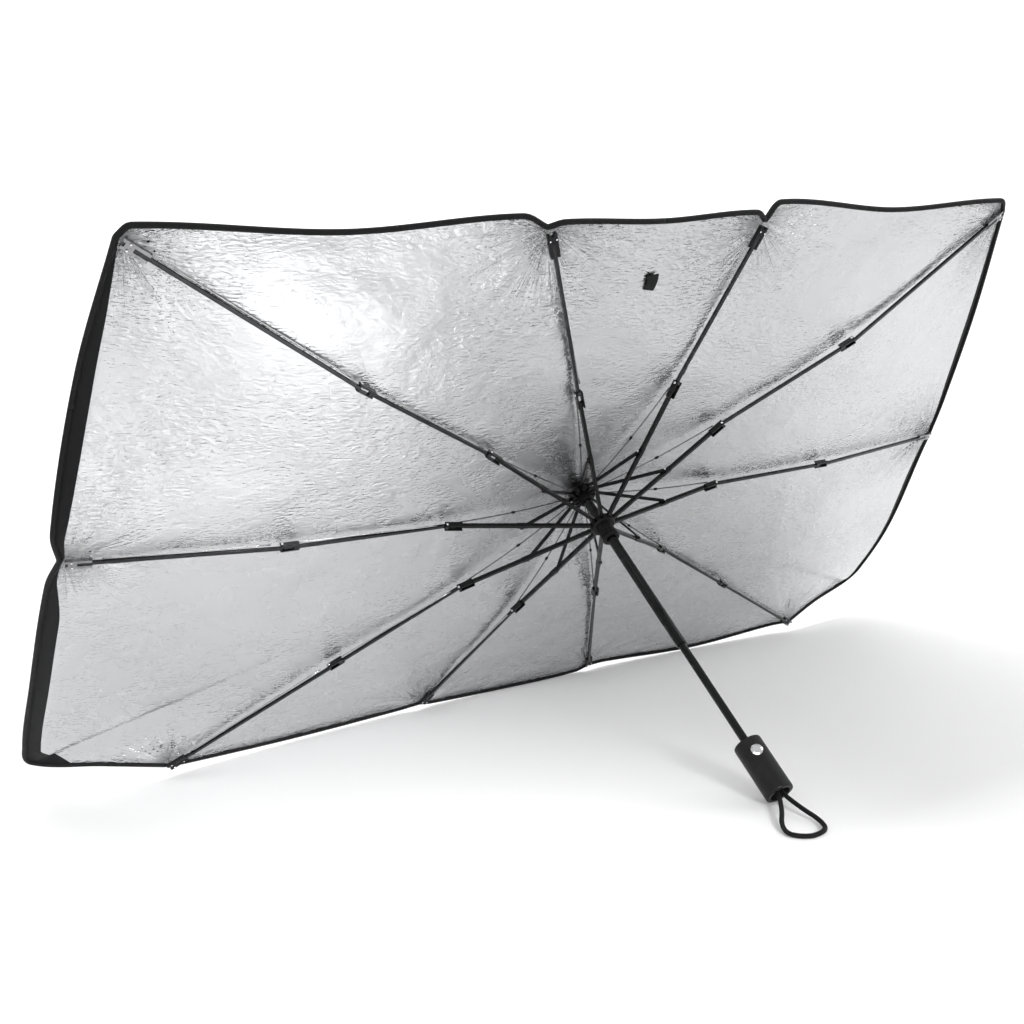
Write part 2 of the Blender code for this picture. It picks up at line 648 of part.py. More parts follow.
def button_outline():
    height = HANDLE_RADIUS + BUTTON_STANDS_OUT - BUTTON_POCKET_FLOOR - BUTTON_TRAVEL - GAP
    return [
        (0.0, height), (BUTTON_RADIUS * 0.7, height - 0.0003), (BUTTON_RADIUS, height - 0.0010),
        (BUTTON_RADIUS, 0.0), (0.0, 0.0),
    ]


def build_handle(stand):
    azimuth = math.radians(BUTTON_AZIMUTH)
    out = Vector((math.cos(azimuth), math.sin(azimuth), 0.0))
    centre = Vector((0.0, 0.0, BUTTON_HEIGHT))
    pocket_end = centre + out * 2 * HANDLE_RADIUS
    pocket = rod(centre + out * BUTTON_POCKET_FLOOR, pocket_end, BUTTON_RADIUS + GAP, TUBE_SIDES)
    handle = turned("handle", handle_outline(), HUB_SIDES)
    part("handle", combine("handle", handle, cut=[pocket]), PLASTIC, stand)

    place = centre + out * (BUTTON_POCKET_FLOOR + BUTTON_TRAVEL + GAP)
    button = turned("push_button", button_outline(), TUBE_SIDES)
    obj = part("push_button", button, STEEL, stand, place)
    obj.rotation_euler = out.to_track_quat("Z", "Y").to_euler()


def build_loop(handle_end):
    """Wrist loop: both strands leave the handle's recess, and the far end lies on the floor."""
    half = [Vector((side, -out, up)) for side, out, up in LOOP_ROUTE]
    mirrored = [Vector((-p.x, p.y, p.z)) for p in half[-2::-1]]
    route = smooth_route(half + mirrored, LOOP_STEPS)
    turned_route = [Matrix.Rotation(LOOP_TURN, 3, "Z") @ point for point in route]
    loop = tube_along("wrist_loop", turned_route, LOOP_RADIUS, closed=False)
    loop.data.materials.append(material(CORD))
    loop.parent = handle_end
    return loop


def build_canopy(stand):
    part("canopy", canopy_mesh(), SILVER, stand)
    piping = tube_along("edge_piping", edge_points(), PIPING_RADIUS, closed=True)
    piping.data.materials.append(material(BINDING))
    piping.parent = stand
    x, y = STRAP_PLACE
    border = inset_edge(edge_points(), PIPING_RADIUS)
    top = max(border, key=lambda p: p.y - abs(p.x))
    near = fabric_height(y - STRAP_PROBE, math.pi / 2, top.y, top.z)
    far = fabric_height(y + STRAP_PROBE, math.pi / 2, top.y, top.z)
    height = (near + far) / 2 + FABRIC_THICKNESS / 2 + STRAP_SIZE[2] / 2 + 2 * GAP
    size = [value / 2 for value in STRAP_SIZE]
    strap = part("hook_loop_strap", box([-s for s in size], size), BINDING, stand, (x, y, height))
    strap.rotation_euler = (math.atan2(far - near, 2 * STRAP_PROBE), 0.0, 0.0)


# ---------------------------------------------------------------- assembly
def stand_on_floor(guides, loop):
    """Move the assembly so that its box, without the wrist loop, stands on the origin."""
    bpy.context.view_layer.update()
    graph = bpy.context.evaluated_depsgraph_get()
    corners = []
    for obj in PARTS.objects:
        if obj.type in {"MESH", "CURVE"} and obj is not loop:
            mesh = obj.evaluated_get(graph).to_mesh()
            corners += [obj.matrix_world @ vertex.co for vertex in mesh.vertices]
    places = np.array([tuple(c) for c in corners])
    low, high = places.min(axis=0), places.max(axis=0)
    shift = Vector((-(low[0] + high[0]) / 2, -(low[1] + high[1]) / 2, -low[2]))
    for guide in guides:
        guide.location += shift
    bpy.context.view_layer.update()


def main():
    stand = empty("stand", rotation=(math.pi / 2 + LEAN, 0.0, 0.0))
    build_hub(stand)
    build_shaft(stand)
    build_handle(stand)
    build_linkage(stand)
    build_canopy(stand)
    handle_end = empty("handle_end", location=(0.0, -HANDLE_BOTTOM * math.cos(LEAN), 0.0))
    loop = build_loop(handle_end)
    stand_on_floor([stand, handle_end], loop)
    handle_end.location.z = 0.0


clear_scene()
PARTS = collection(NAME)
CUTTERS = collection(NAME + "_cutters")
main()
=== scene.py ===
"""Looks for the umbrella sunshade: silver and black canopy, piping, linkage, shaft, handle and studio.

The umbrella's own frame has the shaft along +Z from the crown to the handle and the canopy long
along X. TO_ROW carries it into the row frame. Fabric is laid out on spokes (columns) and rings.
"""
import json
import math

import bmesh
import bpy
import numpy as np
from mathutils import Matrix, Vector, noise


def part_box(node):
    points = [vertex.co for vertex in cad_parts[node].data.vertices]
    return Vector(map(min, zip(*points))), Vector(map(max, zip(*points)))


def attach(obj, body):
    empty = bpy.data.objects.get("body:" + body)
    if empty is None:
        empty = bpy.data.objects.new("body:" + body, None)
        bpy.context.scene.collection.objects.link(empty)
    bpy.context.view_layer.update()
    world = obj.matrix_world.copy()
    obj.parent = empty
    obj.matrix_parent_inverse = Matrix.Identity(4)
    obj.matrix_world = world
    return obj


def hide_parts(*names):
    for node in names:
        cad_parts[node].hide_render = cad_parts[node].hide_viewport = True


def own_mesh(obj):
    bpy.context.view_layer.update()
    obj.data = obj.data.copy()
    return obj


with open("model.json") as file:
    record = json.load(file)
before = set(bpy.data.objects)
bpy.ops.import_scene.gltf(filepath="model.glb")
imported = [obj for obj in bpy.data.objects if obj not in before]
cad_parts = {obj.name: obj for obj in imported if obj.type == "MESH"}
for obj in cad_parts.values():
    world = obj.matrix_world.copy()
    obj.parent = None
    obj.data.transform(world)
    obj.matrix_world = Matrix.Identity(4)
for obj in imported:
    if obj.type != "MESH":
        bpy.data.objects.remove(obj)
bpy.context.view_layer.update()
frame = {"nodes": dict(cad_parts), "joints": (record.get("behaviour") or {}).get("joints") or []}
NODES = frame["nodes"]
JOINTS = {joint["name"]: joint for joint in frame["joints"]}

# ---------------------------------------------------------------- dimensions, in metres
RIB_PAIRS = (
    ("side", 0.0, 0.650, -0.021, True),
    ("upper", 33.5, 0.688, -0.049, True),
    ("top", 70.0, 0.417, -0.021, False),
    ("lower", -37.0, 0.680, -0.003, True),
    ("bottom", -71.2, 0.470, -0.033, False),
)
EDGE_TABLE = (
    ("smooth", (0.000, 0.397, -0.018), (0.000, 0.397, -0.018)),
    ("smooth", (0.126, 0.404, -0.019), (-0.124, 0.399, -0.019)),
    ("notch", (0.144, 0.392, -0.021), (-0.144, 0.392, -0.021)),
    ("smooth", (0.171, 0.408, -0.034), (-0.173, 0.403, -0.026)),
    ("smooth", (0.361, 0.391, -0.038), (-0.360, 0.385, -0.036)),
    ("smooth", (0.555, 0.396, -0.045), (-0.560, 0.393, -0.046)),
    ("notch", (0.574, 0.380, -0.049), (-0.574, 0.380, -0.049)),
    ("smooth", (0.625, 0.214, -0.044), (-0.615, 0.223, -0.054)),
    ("smooth", (0.653, 0.055, -0.032), (-0.654, 0.047, -0.018)),
    ("notch", (0.650, 0.000, -0.021), (-0.650, 0.000, -0.021)),
    ("smooth", (0.666, -0.045, -0.028), (-0.665, -0.045, -0.028)),
    ("smooth", (0.704, -0.229, -0.034), (-0.695, -0.231, -0.036)),
    ("smooth", (0.715, -0.357, -0.047), (-0.712, -0.358, -0.045)),
    ("smooth", (0.702, -0.391, -0.050), (-0.707, -0.394, -0.044)),
    ("smooth", (0.619, -0.401, -0.029), (-0.622, -0.404, -0.024)),
    ("notch", (0.543, -0.409, -0.003), (-0.543, -0.409, -0.003)),
    ("smooth", (0.513, -0.420, -0.012), (-0.515, -0.421, -0.009)),
    ("smooth", (0.353, -0.443, -0.021), (-0.351, -0.442, -0.023)),
    ("smooth", (0.188, -0.450, -0.037), (-0.187, -0.452, -0.035)),
    ("notch", (0.152, -0.445, -0.033), (-0.152, -0.445, -0.033)),
    ("smooth", (0.128, -0.455, -0.033), (-0.128, -0.454, -0.036)),
    ("smooth", (0.000, -0.458, -0.035), (0.000, -0.458, -0.035)),
)
KNUCKLE = (0.205, 0.019)
SECOND_KNUCKLE = (0.411, 0.009)
FABRIC_HEIGHTS = (-0.0105, 0.0060, -0.0010)   # at the crown, the first and the second knuckle
FABRIC_HOLE = 0.0078
FABRIC_HALF = 0.00030                         # half the distance between silver and black layers
HANDLE_BOTTOM = 0.477
PIPING_RADIUS = 0.0034
LOOP_RADIUS = 0.0025
LOOP_ROUTE = (
    (0.0030, -0.0030, 0.0135),
    (0.0045, 0.0120, 0.0118),
    (0.0110, 0.0380, 0.0085),
    (0.0190, 0.0640, 0.0050),
    (0.0175, 0.0840, 0.0032),
    (0.0000, 0.0940, 0.0028),
)
LOOP_TURN = math.radians(-22.0)
KNUCKLE_PIN_HALF = 0.0049                     # half the length of a knuckle's pin
LOWER_FAN = 1.5                               # the lower ribs' folds are this much shorter
# The bright wire beside each rib is partly a painted highlight for the light line along the rib's edge.
WIRE_ASIDE = -0.0034                          # bright wire's place beside its rib
RIVET_SHARE = 0.496                           # the strut's rivet, along the stretcher
UP = (0.0, 0.0, 1.0)                          # towards the handle, in umbrella coordinates
RIVET_HEAD = (0.00165, 0.0008)                # radius and height of a knuckle's rivet head
CLIP_HEAD = (0.00115, 0.0007)                 # radius and height of a tip clip's rivet head
CLIP_TO_TIP = 0.0012 + 0.0126                 # from the piping's inner side to the clip's middle
CLIP_HEIGHT = 0.0075 + 0.0025                 # the clip's top above the rib's tip
WIRE_FROM, WIRE_TO = 0.016, 0.194             # radii where a guide wire starts and ends
WIRE_SECTION = (0.0010, 0.0008, 8)
BRIGHT_SECTION = (0.0008, 0.0008, 8)
STRAP_HALF = 0.0073                           # half the strap's width
GRID = 0.0056                                 # spacing of the fabric's mesh
CANT = 0.55                                   # slope of the dark side bands, back from the silver


def point_of(joint, key):
    return Vector(JOINTS[joint][key])


AXIS_X = Vector((1.0, 0.0, 0.0))
AXIS_Z = point_of("runner_slide", "axis").normalized()
AXIS_Y = AXIS_Z.cross(AXIS_X)
ORIGIN = (point_of("strut_hinge_right_side", "pos_m") + point_of("strut_hinge_left_side", "pos_m")) / 2
TO_ROW = Matrix.Translation(ORIGIN) @ Matrix((AXIS_X, AXIS_Y, AXIS_Z)).transposed().to_4x4()
ROTATE = np.array([tuple(AXIS_X), tuple(AXIS_Y), tuple(AXIS_Z)])
START = np.array(tuple(ORIGIN))


def to_row(points):
    """Umbrella coordinates, as an array with x, y, z last, carried into the row frame."""
    return np.asarray(points) @ ROTATE + START


def rib_list():
    """Ribs counter-clockwise: name, azimuth in radians, tip radius, tip height, folds in three."""
    ribs = []
    for name, azimuth, radius, height, three in RIB_PAIRS:
        ribs.append(("right_" + name, math.radians(azimuth % 360.0), radius, height, three))
        ribs.append(("left_" + name, math.radians((180.0 - azimuth) % 360.0), radius, height, three))
    return sorted(ribs, key=lambda rib: rib[1])


RIBS = rib_list()


# ---------------------------------------------------------------- studio: camera, floor, light
def make_camera():
    camera = bpy.data.objects.new("camera", bpy.data.cameras.new("camera"))
    bpy.context.scene.collection.objects.link(camera)
    right = Vector((0.89307, -0.43623, -0.11012)).normalized()
    forward = Vector((0.42778, 0.89913, -0.09257)).normalized()
    up = right.cross(forward).normalized()
    turn = Matrix((right, up, -forward)).transposed()
    camera.matrix_world = Matrix.Translation(ORIGIN + Vector((-0.71358, -1.27496, 0.12343))) @ turn.to_4x4()
    camera.data.lens = 38.565
    camera.data.sensor_width = 36.0
    camera.data.clip_start = 0.05
    bpy.context.scene.camera = camera


def area_light(name, place, target, size, power):
    light = bpy.data.lights.new(name, "AREA")
    light.shape = "RECTANGLE"
    light.size, light.size_y = size
    light.energy = power
    lamp = bpy.data.objects.new(name, light)
    bpy.context.scene.collection.objects.link(lamp)
    lamp.location = place
    lamp.rotation_euler = (Vector(target) - Vector(place)).to_track_quat("-Z", "Y").to_euler()
    return lamp


def make_studio():
    scene = bpy.context.scene
    scene.view_settings.view_transform = "Standard"
    world = bpy.data.worlds.new("studio")
    world.use_nodes = True
    background = world.node_tree.nodes["Background"]
    background.inputs["Color"].default_value = (1.0, 1.0, 1.0, 1.0)
    background.inputs["Strength"].default_value = 0.58
    scene.world = world
    area_light("front_softbox", (-1.2, -3.4, 2.4), (0.0, 0.0, 0.2), (3.0, 2.0), 34.0)
    area_light("right_softbox", (3.0, -1.6, 2.2), (0.0, 0.0, 0.2), (1.4, 2.0), 26.0)
    area_light("wall_softbox", (2.5, 1.4, 4.6), (2.4, 5.2, 1.4), (9.0, 1.6), 330.0)
    pool = area_light("floor_pool", (-0.20, -1.30, 0.42), (-0.40, -0.46, 0.0), (0.32, 0.15), 2.3)
    pool.data.spread = math.radians(52.0)

    mesh = bpy.data.meshes.new("floor")
    shape = bmesh.new()
    profile = [(-9.0, 0.0), (3.2, 0.0)]
    profile += [(3.2 + 2.0 * math.sin(t), 2.0 - 2.0 * math.cos(t)) for t in np.linspace(0.1, math.pi / 2, 24)]
    profile += [(5.2, 7.0)]
    rows = [[shape.verts.new((x, y, z)) for y, z in profile] for x in (-12.0, 12.0)]
    for i in range(len(profile) - 1):
        shape.faces.new((rows[0][i], rows[1][i], rows[1][i + 1], rows[0][i + 1]))
    shape.to_mesh(mesh)
    shape.free()
    mesh.shade_smooth()
    floor = bpy.data.objects.new("floor", mesh)
    scene.collection.objects.link(floor)
    plain = bpy.data.materials.new("pale_floor")
    plain.use_nodes = True
    shader = plain.node_tree.nodes["Principled BSDF"]
    shader.inputs["Base Color"].default_value = (0.93, 0.93, 0.93, 1.0)
    shader.inputs["Roughness"].default_value = 0.7
    shader.inputs["Specular IOR Level"].default_value = 0.2
    # The floor glows faintly: painted light that lifts the shade the canopy casts on it.
    shader.inputs["Emission Color"].default_value = (1.0, 1.0, 1.0, 1.0)
    shader.inputs["Emission Strength"].default_value = 0.07
    mesh.materials.append(plain)


# ---------------------------------------------------------------- material nodes
class Nodes:
    """A short way to write a material's node tree."""

    def __init__(self, name):
        self.material = bpy.data.materials.new(name)
        self.material.use_nodes = True
        self.tree = self.material.node_tree
        self.shader = self.tree.nodes["Principled BSDF"]

    def add(self, kind, inputs=None, **settings):
        node = self.tree.nodes.new(kind)
        for key, value in settings.items():
            setattr(node, key, value)
        for key, value in (inputs or {}).items():
            self.link(value, node.inputs[key])
        return node

    def link(self, value, socket):
        if isinstance(value, bpy.types.NodeSocket):
            self.tree.links.new(value, socket)
        else:
            socket.default_value = value

    def set(self, **values):
        for key, value in values.items():
            self.link(value, self.shader.inputs[key.replace("_", " ")])

    def math(self, operation, a, b=0.0, clamp=False):
        node = self.add("ShaderNodeMath", operation=operation, use_clamp=clamp)
        self.link(a, node.inputs[0])
        self.link(b, node.inputs[1])
        return node.outputs[0]

    def coords(self, scale, uv=None):
        """Object coordinates, or a UV map's, times a scale for each axis."""
        if uv:
            source = self.add("ShaderNodeUVMap", uv_map=uv).outputs["UV"]
        else:
            source = self.add("ShaderNodeTexCoord").outputs["Object"]
        return self.add("ShaderNodeMapping", {"Vector": source, "Scale": scale}).outputs["Vector"]

    def noise(self, vector, detail=2.0, roughness=0.5, distortion=0.0, scale=1.0):
        return self.add("ShaderNodeTexNoise", {
            "Vector": vector, "Scale": scale, "Detail": detail, "Roughness": roughness,
            "Distortion": distortion}).outputs["Fac"]

    def ridges(self, value):
        """Turn noise about 0.5 into sharp crests: 1 - |2n - 1|."""
        centred = self.math("MULTIPLY_ADD", value, 2.0)
        centred.node.inputs[2].default_value = -1.0
        return self.math("SUBTRACT", 1.0, self.math("ABSOLUTE", centred))

    def spread(self, value, low, high, out_low, out_high):
        return self.add("ShaderNodeMapRange", {
            "Value": value, "From Min": low, "From Max": high, "To Min": out_low,
            "To Max": out_high}).outputs["Result"]

    def tint(self, value, dark, light):
        mix = self.add("ShaderNodeMix", data_type="RGBA")
        self.link(value, mix.inputs["Factor"])
        mix.inputs[6].default_value = (*dark, 1.0)
        mix.inputs[7].default_value = (*light, 1.0)
        return mix.outputs[2]

    def bump(self, height, distance, normal=None, strength=1.0):
        inputs = {"Height": height, "Distance": distance, "Strength": strength}
        if normal:
            inputs["Normal"] = normal
        return self.add("ShaderNodeBump", inputs).outputs["Normal"]


def silver_material():
    """Metallised film laminated on cloth: hair-fine creases, drawn into folds at the rib tips."""
    n = Nodes("silver_foil_cloth")
    plan = n.coords((1.0, 1.0, 1.0), "plan")
    sway = n.noise(n.coords((5.0, 5.0, 1.0), "plan"), 2.0)
    patches = n.spread(n.noise(n.coords((3.0, 4.5, 1.0), "plan"), 2.0), 0.38, 0.62, 0.35, 1.0)
    hairs = []
    for turn, fine, coarse in ((0.45, 75.0, 210.0), (-0.65, 80.0, 190.0), (1.45, 70.0, 230.0)):
        mapped = n.coords((fine, coarse, 1.0), "plan")
        mapped.node.inputs["Rotation"].default_value[2] = turn
        hairs.append(n.math("POWER", n.ridges(n.noise(mapped, 1.0, 0.4)), 3.0))
    lines = n.math("ADD", n.math("ADD", hairs[0], hairs[1]), hairs[2])
    reach = n.add("ShaderNodeSeparateXYZ", {0: n.add("ShaderNodeUVMap", uv_map="fan").outputs["UV"]})
    near = n.spread(reach.outputs["Y"], 0.012, 0.14, 1.0, 0.0)
    stronger = n.math("MULTIPLY_ADD", near, 0.9)
    stronger.node.inputs[2].default_value = 0.60
    crackle = n.math("MULTIPLY", lines, stronger)
    crackle = n.math("MULTIPLY", crackle, patches)
    fine = n.noise(plan, 3.0, 0.55, 0.0, 420.0)
    swell = n.noise(plan, 2.0, 0.5, 0.0, 24.0)
    fan = n.ridges(n.noise(n.coords((5.0, 9.0, 1.0), "fan"), 4.0, 0.62, 0.5))
    folds = n.math("MULTIPLY", n.math("POWER", fan, 2.0), n.math("POWER", near, 1.5))
    normal = n.bump(folds, 0.0038)
    normal = n.bump(swell, 0.0026, normal)
    normal = n.bump(crackle, 0.00080, normal)
    normal = n.bump(fine, 0.00030, normal)
    n.set(Base_Color=n.tint(sway, (0.57, 0.575, 0.585), (0.66, 0.665, 0.675)), Metallic=1.0,
          Roughness=n.spread(swell, 0.3, 0.7, 0.22, 0.31), Normal=normal)
    return n.material


def cloth_material(name, dark, light, pitch, uv="plan"):
    """Plain-woven black cloth: crossed threads, slight fading, soft sheen."""
    n = Nodes(name)
    base = n.coords((1.0, 1.0, 1.0), uv)
    split = n.add("ShaderNodeSeparateXYZ", {0: base})
    threads = []
    for axis in ("X", "Y"):
        turns = n.math("MULTIPLY", split.outputs[axis], 2 * math.pi / pitch)
        threads.append(n.math("SINE", turns))
    weave = n.math("MULTIPLY", threads[0], threads[1])
    wear = n.noise(base, 4.0, 0.6, 0.4, 38.0)
    normal = n.bump(n.noise(base, 3.0, 0.5, 0.5, 60.0), 0.0006)
    normal = n.bump(weave, 0.00007, normal)
    n.set(Base_Color=n.tint(wear, dark, light), Roughness=n.spread(wear, 0.3, 0.7, 0.62, 0.78),
          Normal=normal)
    n.set(Specular_IOR_Level=0.12, Sheen_Weight=0.04, Sheen_Roughness=0.45)
    return n.material


def binding_material():
    """Black grosgrain binding: cross ribs along the piping."""
    n = Nodes("black_grosgrain")
    base = n.coords((1.0, 1.0, 1.0), "plan")
    split = n.add("ShaderNodeSeparateXYZ", {0: base})
    ribs = n.math("SINE", n.math("MULTIPLY", split.outputs["X"], 2 * math.pi / 0.0009))
    wear = n.noise(base, 3.0, 0.6, 0.2, 220.0)
    normal = n.bump(ribs, 0.00006)
    normal = n.bump(wear, 0.00016, normal)
    n.set(Base_Color=n.tint(wear, (0.004, 0.004, 0.0045), (0.012, 0.012, 0.0125)),
          Roughness=n.spread(wear, 0.3, 0.7, 0.50, 0.66), Normal=normal)
    n.set(Specular_IOR_Level=0.15, Sheen_Weight=0.02, Sheen_Roughness=0.5)
    return n.material


def metal_material(name, dark, light, rough, metallic, grain=900.0, bump=0.00002, shine=0.5):
    """Painted or bare metal, with fine mottling and slight scuffs."""
    n = Nodes(name)
    base = n.coords((1.0, 1.0, 1.0))
    mottle = n.noise(base, 4.0, 0.6, 0.3, 120.0)
    scuff = n.noise(n.coords((60.0, 420.0, 420.0)), 3.0, 0.6)
    normal = n.bump(n.noise(base, 2.0, 0.5, 0.0, grain), bump)
    low, high = rough
    n.set(Base_Color=n.tint(mottle, dark, light), Metallic=metallic,
          Roughness=n.spread(scuff, 0.35, 0.7, low, high), Normal=normal)
    n.set(Specular_IOR_Level=shine)
    return n.material


def plastic_material(name, dark, light, rough, grain=1400.0, bump=0.00003):
    """Moulded plastic with a spark-eroded grain."""
    n = Nodes(name)
    base = n.coords((1.0, 1.0, 1.0))
    cells = n.add("ShaderNodeTexVoronoi", {"Vector": base, "Scale": grain}).outputs["Distance"]
    cloud = n.noise(base, 3.0, 0.6, 0.2, 90.0)
    low, high = rough
    n.set(Base_Color=n.tint(cloud, dark, light), Roughness=n.spread(cloud, 0.3, 0.7, low, high),
          Normal=n.bump(cells, bump))
    n.set(Specular_IOR_Level=0.14)
    return n.material


def cord_material():
    n = Nodes("black_braided_cord")
    base = n.coords((1.0, 1.0, 1.0))
    cells = n.add("ShaderNodeTexVoronoi", {"Vector": base, "Scale": 900.0}).outputs["Distance"]
    wear = n.noise(base, 3.0, 0.6, 0.0, 260.0)
    normal = n.bump(cells, 0.00025)
    n.set(Base_Color=n.tint(wear, (0.004, 0.004, 0.004), (0.013, 0.013, 0.014)),
          Roughness=n.spread(wear, 0.3, 0.7, 0.7, 0.85), Normal=normal)
    n.set(Specular_IOR_Level=0.12, Sheen_Weight=0.03, Sheen_Roughness=0.5)
    return n.material


SILVER = silver_material()
OUTER_CLOTH = cloth_material("black_outer_cloth", (0.007, 0.007, 0.0075), (0.017, 0.017, 0.018), 0.0007)
BINDING = binding_material()
BLACK_METAL = metal_material("black_painted_steel", (0.0015, 0.0015, 0.0016), (0.005, 0.005, 0.0052),
                             (0.16, 0.28), 0.0, shine=0.22)
RIB_METAL = metal_material("steel_rib", (0.018, 0.018, 0.019), (0.07, 0.071, 0.073), (0.12, 0.24), 1.0)
CLIP_STEEL = metal_material("clip_steel", (0.16, 0.16, 0.165), (0.34, 0.34, 0.35), (0.18, 0.30), 1.0)
# Bright metal for the rib wires, which are partly a painted highlight for the light lines along the ribs'
# edges.
WIRE_AND_HIGHLIGHT = metal_material("wire_and_painted_highlight", (0.42, 0.42, 0.43), (0.68, 0.68, 0.69), (0.14, 0.24), 1.0)
WIRE_DARK = metal_material("dark_wire", (0.10, 0.10, 0.105), (0.26, 0.26, 0.27), (0.2, 0.32), 1.0)
RIVET_METAL = metal_material("bright_rivet", (0.75, 0.75, 0.76), (0.92, 0.92, 0.92), (0.10, 0.18), 1.0)
TUBE_PAINT = metal_material("gloss_black_tube", (0.0015, 0.0015, 0.0016), (0.004, 0.004, 0.0042),
                            (0.06, 0.12), 0.0, shine=0.30)
HUB_PLASTIC = plastic_material("hub_plastic", (0.003, 0.003, 0.0032), (0.008, 0.008, 0.0085), (0.30, 0.42))
CLIP_PLASTIC = plastic_material("clip_plastic", (0.008, 0.008, 0.0085), (0.02, 0.02, 0.021), (0.30, 0.42))
HANDLE_PLASTIC = plastic_material("handle_plastic", (0.010, 0.010, 0.0105), (0.019, 0.019, 0.0195),
                                  (0.34, 0.44))
CHROME = metal_material("button_chrome", (0.82, 0.82, 0.83), (0.93, 0.93, 0.94), (0.05, 0.10), 1.0)
CORD_CLOTH = cord_material()
STRAP_CLOTH = cloth_material("strap_webbing", (0.008, 0.008, 0.0085), (0.02, 0.02, 0.021), 0.0011, "plan")

NODE_LOOKS = (
    (("strut_", "stretcher_"), BLACK_METAL),
    (("middle_rib_", "outer_rib_"), RIB_METAL),
    (("tip_clip_left_side", "tip_clip_right_side"), CLIP_STEEL),
    (("tip_clip_left_upper", "tip_clip_right_upper"), CLIP_STEEL),
    (("tip_clip_",), CLIP_PLASTIC),
    (("crown", "top_cap", "runner"), HUB_PLASTIC),
    (("upper_tube", "lower_tube"), TUBE_PAINT),
    (("handle",), HANDLE_PLASTIC),
    (("push_button",), CHROME),
)


def paint_nodes():
    for name, node in NODES.items():
        for starts, finish in NODE_LOOKS:
            if name.startswith(starts):
                for slot in node.material_slots:
                    slot.material = finish
                break


# ---------------------------------------------------------------- edge and surface of the canopy
def edge_curve(steps):
    """The canopy's closed edge, counter-clockwise from the middle of the top edge."""
    right = [Vector(point) for _, point, _ in EDGE_TABLE]
    left = [Vector(point) for _, _, point in EDGE_TABLE]
    kinds = [kind for kind, _, _ in EDGE_TABLE]
    ring = left[:-1] + right[:0:-1]
    ring_kinds = kinds[:-1] + kinds[:0:-1]
    count = len(ring)
    points = []
    for i in range(count):
        following = (i + 1) % count
        start, end = ring[i], ring[following]
        chord = end - start
        leave, reach = chord, chord
        if ring_kinds[i] == "smooth":
            leave = (end - ring[i - 1]).normalized() * chord.length
        if ring_kinds[following] == "smooth":
            reach = (ring[(i + 2) % count] - start).normalized() * chord.length
        for step in range(steps):
            t = step / steps
            points.append(start * (2 * t**3 - 3 * t**2 + 1) + leave * (t**3 - 2 * t**2 + t)
                          + end * (3 * t**2 - 2 * t**3) + reach * (t**3 - t**2))
    return np.array([tuple(p) for p in points])


def inset(points, distance):
    """The edge moved inwards in plan, by one distance or by one for each point."""
    along = np.roll(points, -1, 0) - np.roll(points, 1, 0)
    inward = np.stack([-along[:, 1], along[:, 0]], 1)
    inward /= np.linalg.norm(inward, axis=1, keepdims=True)
    moved = points.copy()
    moved[:, :2] += inward * np.reshape(distance, (-1, 1))
    return moved


def smoothstep(low, high, value):
    t = np.clip((value - low) / (high - low), 0.0, 1.0)
    return t * t * (3 - 2 * t)


EDGE = edge_curve(40)


def azimuths(points):
    """Azimuth of each point, growing steadily from 90 degrees."""
    return np.unwrap(np.arctan2(points[:, 1], points[:, 0])) 


def around(points, values, azimuth):
    """Values given along a closed outline, read at other azimuths."""
    turn = azimuths(points)
    order = np.argsort(turn)
    turn, values = turn[order], np.asarray(values)[order]
    turn = np.concatenate([turn - 2 * math.pi, turn, turn + 2 * math.pi])
    return np.interp(azimuth, turn, np.concatenate([values] * 3))


def band_width(points):
    """Width of the dark hem along the short sides, at each point of the edge."""
    x, y = np.abs(points[:, 0]), points[:, 1]
    on_side = smoothstep(0.55, 0.60, x)
    upper = np.clip(y / 0.375, 0.0, 1.0)
    lower = np.clip(-y / 0.30, 0.0, 1.0)
    wide = 0.013 * np.sin(np.pi * upper**0.8) ** 0.7 * (y > 0)
    wide = wide + (y <= 0) * 0.0155 * smoothstep(0.0, 0.35, lower) ** 0.8
    bottom_run = (y < -0.385) & (x < 0.694)
    return np.where(bottom_run, 0.0, wide * on_side)


def silver_outline():
    """The silver's own border, inside the piping and the dark hems."""
    width = band_width(EDGE)
    border = inset(EDGE, PIPING_RADIUS * 0.75 + 0.0006 + width)
    x, y = np.abs(border[:, 0]), border[:, 1]
    corner = (y < -0.30) & (border[:, 0] < -0.55)
    over = (x - 0.690) + (-y - 0.382) + 0.012
    cut = corner & (over > 0)
    shift = np.where(cut, over / 2, 0.0)
    border[:, 0] -= np.sign(border[:, 0]) * shift
    border[:, 1] += shift
    return border, width


def lay_out():
    """Spokes of the fabric: their azimuths, and the column of each rib and of each gore's middle."""
    turn = azimuths(EDGE)
    steps = np.linalg.norm(np.diff(EDGE, axis=0, append=EDGE[:1]), axis=1)
    length = np.concatenate([[0.0], np.cumsum(steps)])
    turn = np.append(turn, turn[0] + 2 * math.pi)
    stops = []
    for i, rib in enumerate(RIBS):
        following = RIBS[(i + 1) % len(RIBS)][1] + (2 * math.pi if i == len(RIBS) - 1 else 0.0)
        stops += [rib[1], (rib[1] + following) / 2]
    period = 2 * math.pi
    columns, marks = [], []
    for i, start in enumerate(stops):
        end = stops[(i + 1) % len(stops)] + (period if i == len(stops) - 1 else 0.0)
        base = turn[0]
        full_turn = np.concatenate([turn[:-1] - period, turn[:-1], turn + period])
        full_length = np.concatenate([length[:-1] - length[-1], length[:-1], length + length[-1]])
        low, high = np.interp([start, end], full_turn, full_length)
        count = max(4, math.ceil((high - low) / GRID))
        marks.append(len(columns))
        spots = np.linspace(low, high, count + 1)[:-1]
        columns += list(np.interp(spots, full_length, full_turn))
    return np.array(columns), marks


